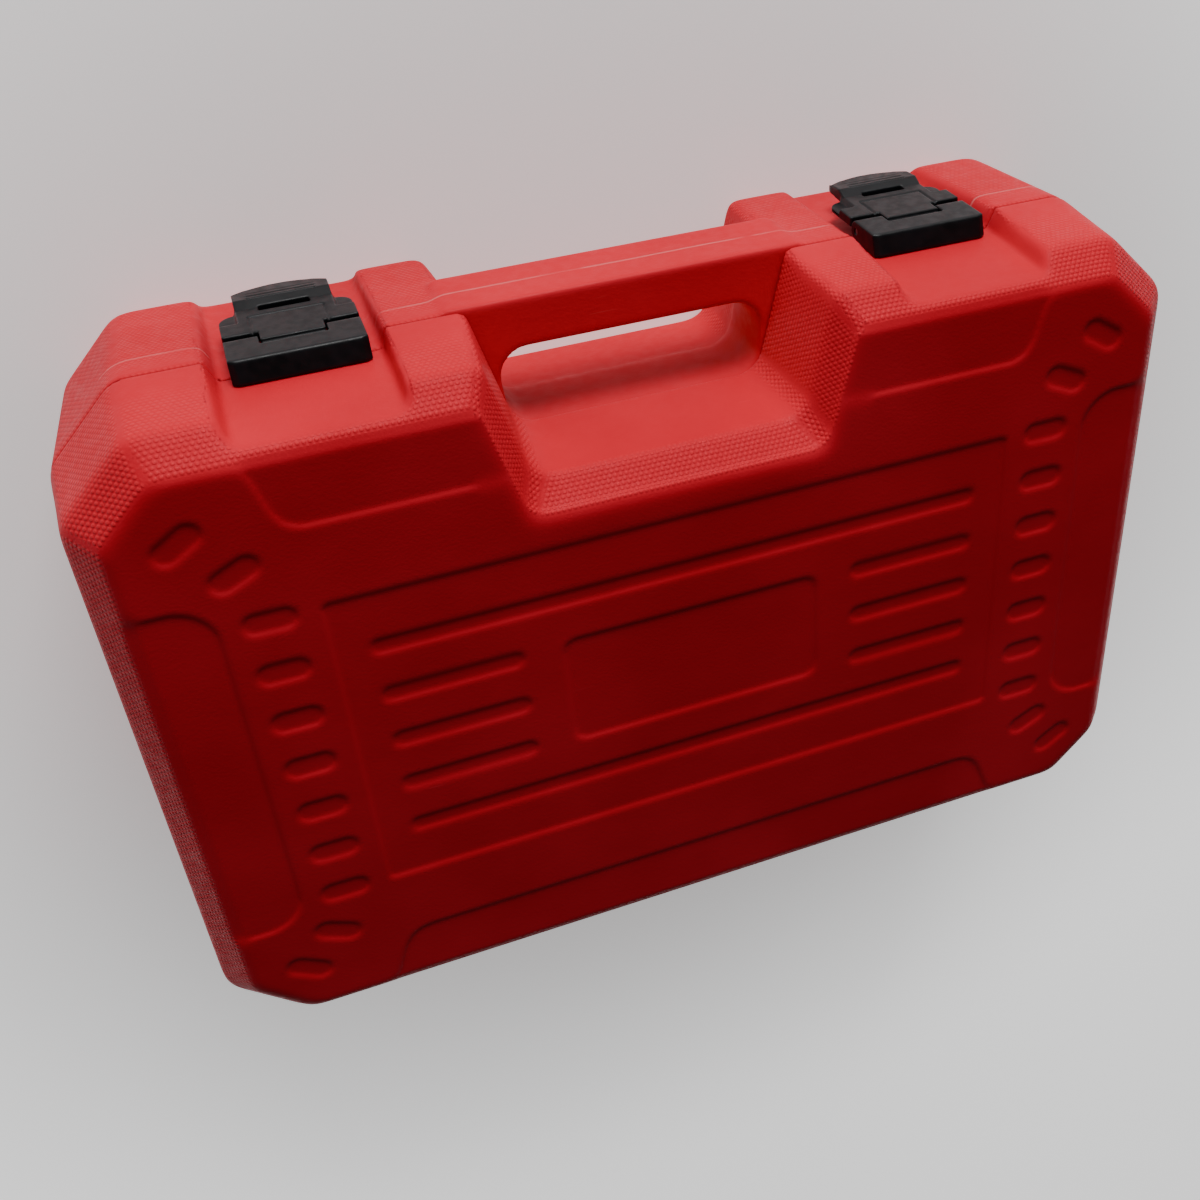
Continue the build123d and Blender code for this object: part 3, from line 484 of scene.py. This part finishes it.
def soft_latch_lever(side, middle):
    """Lever with low rounded shoulders and fine lines pressed around its tongue."""
    node = "latch_lever_" + side
    mesh = voxel_copy(node, LATCH_VOXEL)
    points = get_points(mesh)
    x = np.abs(points[:, 0] - middle)
    z = points[:, 2]
    out = np.clip(x - (LATCH_HALF - SHOULDER_ROUND), 0, SHOULDER_ROUND)
    back = SHOULDER_BACK + SHOULDER_ROUND - np.sqrt(SHOULDER_ROUND**2 - out**2)
    moved = back + (z - LEVER_BACK) * (SHOULDER_FRONT - back) / (SHOULDER_FRONT - LEVER_BACK)
    points[:, 2] = np.where((x > TAB_X) & (z < SHOULDER_FRONT), moved, z)
    top = step(points[:, 1], LEVER_TOP - 1.4, LEVER_TOP)
    drop = step(x, SHOULDER_X - 0.3, SHOULDER_X + 0.3) * step(SHOULDER_FRONT + 0.4 - points[:, 2], 0, 0.8)
    points[:, 1] -= SHOULDER_DROP * top * drop
    points = relax(mesh, points, 3, np.ones(len(points)))
    top = step(points[:, 1], LEVER_TOP - 0.6, LEVER_TOP + 0.4)
    groove = np.exp(-((x - TONGUE_X) / LINE_WIDTH) ** 2) * step(points[:, 2], 43.2, 44.2)
    end = np.exp(-((points[:, 2] - TONGUE_BACK) / LINE_WIDTH) ** 2) * step(12.0 - x, 0, 0.6)
    points[:, 1] -= LINE_DEPTH * top * np.maximum(groove, end)
    write_points(mesh, points)
    material = FINISHES["latch_black"]
    return finish_piece(mesh, "latch_flap_" + side, node, "latch_" + side, material)


soft_half("lid_shell", "lid", FACE_Z, 1, 1, FINISHES["case_red"])
soft_half("base_shell", "base", 0.0, -1, 2, RED_WITH_FLASH)
for side, middle in (("left", -LATCH_X), ("right", LATCH_X)):
    soft_latch_box(side, middle)
    soft_latch_lever(side, middle)


# ---------------------------------------------------------------- finishes of the CAD pieces
def slot_of(node):
    """The record's material slot for a node, by what kind of piece it is."""
    if node.startswith("tray_") or node == "lid_liner":
        return "tray_red"
    if node in ("base_shell", "lid_shell"):
        return "case_red"
    if node == "hinge_pins" or node.startswith("latch_pin"):
        return "pin_steel"
    if node.startswith("latch_"):
        return "latch_black"
    if node.endswith("_grip") or node == "spinner_handle":
        return "grip_black"
    if node.endswith("_sleeve"):
        return "sleeve_rubber"
    if node == "driver_bits":
        return "bit_steel"
    if node.endswith("_selector"):
        return "selector_dark"
    return "tool_chrome"


for name, node in nodes.items():
    slot_name = slot_of(name)
    node.data.materials.clear()
    node.data.materials.append(FINISHES[slot_name])


# ---------------------------------------------------------------- floor, light and camera
FLOOR_HALF = 6.0
FLOOR_SHADOW_INNER = 0.15          # the floor glows less than this close to the case: a painted shadow round it
FLOOR_SHADOW_OUTER = 0.5
FLOOR_SHADOW_GLOW = 0.35
WORLD_STRENGTH = 0.085
KEY_PLACE = (0.12, 1.6, 0.46)
KEY_TARGET = (0.0, 0.05, 0.06)
KEY_SIZE = 0.8
KEY_POWER = 28.0


def floor():
    edge = FLOOR_HALF
    corners = [(-edge, -edge, 0), (edge, -edge, 0), (edge, edge, 0), (-edge, edge, 0)]
    mesh = bpy.data.meshes.new("floor")
    mesh.from_pydata(corners, [], [(0, 1, 2, 3)])
    piece = bpy.data.objects.new("floor", mesh)
    bpy.context.scene.collection.objects.link(piece)
    pale = Finish("floor_pale", (0.9, 0.9, 0.9, 1.0), 0.9)
    away = pale.add("ShaderNodeVectorMath", {0: pale.place}, operation="LENGTH").outputs["Value"]
    pale.set("Emission Color", (1.0, 1.0, 1.0, 1.0))
    # painted shadow: the floor's glow is dimmed close to the case and rises to full further out
    pale.set("Emission Strength", pale.ramp(away, FLOOR_SHADOW_INNER, FLOOR_SHADOW_OUTER, FLOOR_SHADOW_GLOW, 1.0))
    mesh.materials.append(pale.done())


def area_light(name, place, target, size, power):
    lamp = bpy.data.lights.new(name, "AREA")
    lamp.shape = "DISK"
    lamp.size = size
    lamp.energy = power
    light = bpy.data.objects.new(name, lamp)
    light.location = place
    aim = Vector(target) - Vector(place)
    light.rotation_mode = "QUATERNION"
    light.rotation_quaternion = aim.to_track_quat("-Z", "Y")
    bpy.context.scene.collection.objects.link(light)


def surroundings():
    world = bpy.data.worlds.new("studio")
    world.use_nodes = True
    background = world.node_tree.nodes["Background"]
    background.inputs["Color"].default_value = (1.0, 1.0, 1.0, 1.0)
    background.inputs["Strength"].default_value = WORLD_STRENGTH
    bpy.context.scene.world = world


CAMERA_PLACE = (-0.11879, 0.30994, 0.47455)
CAMERA_RIGHT = Vector((0.93294, -0.04263, 0.35751))
CAMERA_UP = Vector((0.24002, 0.81377, -0.52931))
CAMERA_LENS = 42.486
CAMERA_SHIFT = (-0.0933, -0.0283)


def main_camera():
    data = bpy.data.cameras.new("camera")
    data.sensor_width = 36.0
    data.lens = CAMERA_LENS
    data.shift_x, data.shift_y = CAMERA_SHIFT
    camera = bpy.data.objects.new("camera", data)
    back = CAMERA_RIGHT.cross(CAMERA_UP)
    turn = Matrix((CAMERA_RIGHT, CAMERA_UP, back)).transposed()
    camera.rotation_mode = "QUATERNION"
    camera.rotation_quaternion = turn.to_quaternion()
    camera.location = CAMERA_PLACE
    bpy.context.scene.collection.objects.link(camera)
    bpy.context.scene.camera = camera


floor()
surroundings()
area_light("key", KEY_PLACE, KEY_TARGET, KEY_SIZE, KEY_POWER)
main_camera()
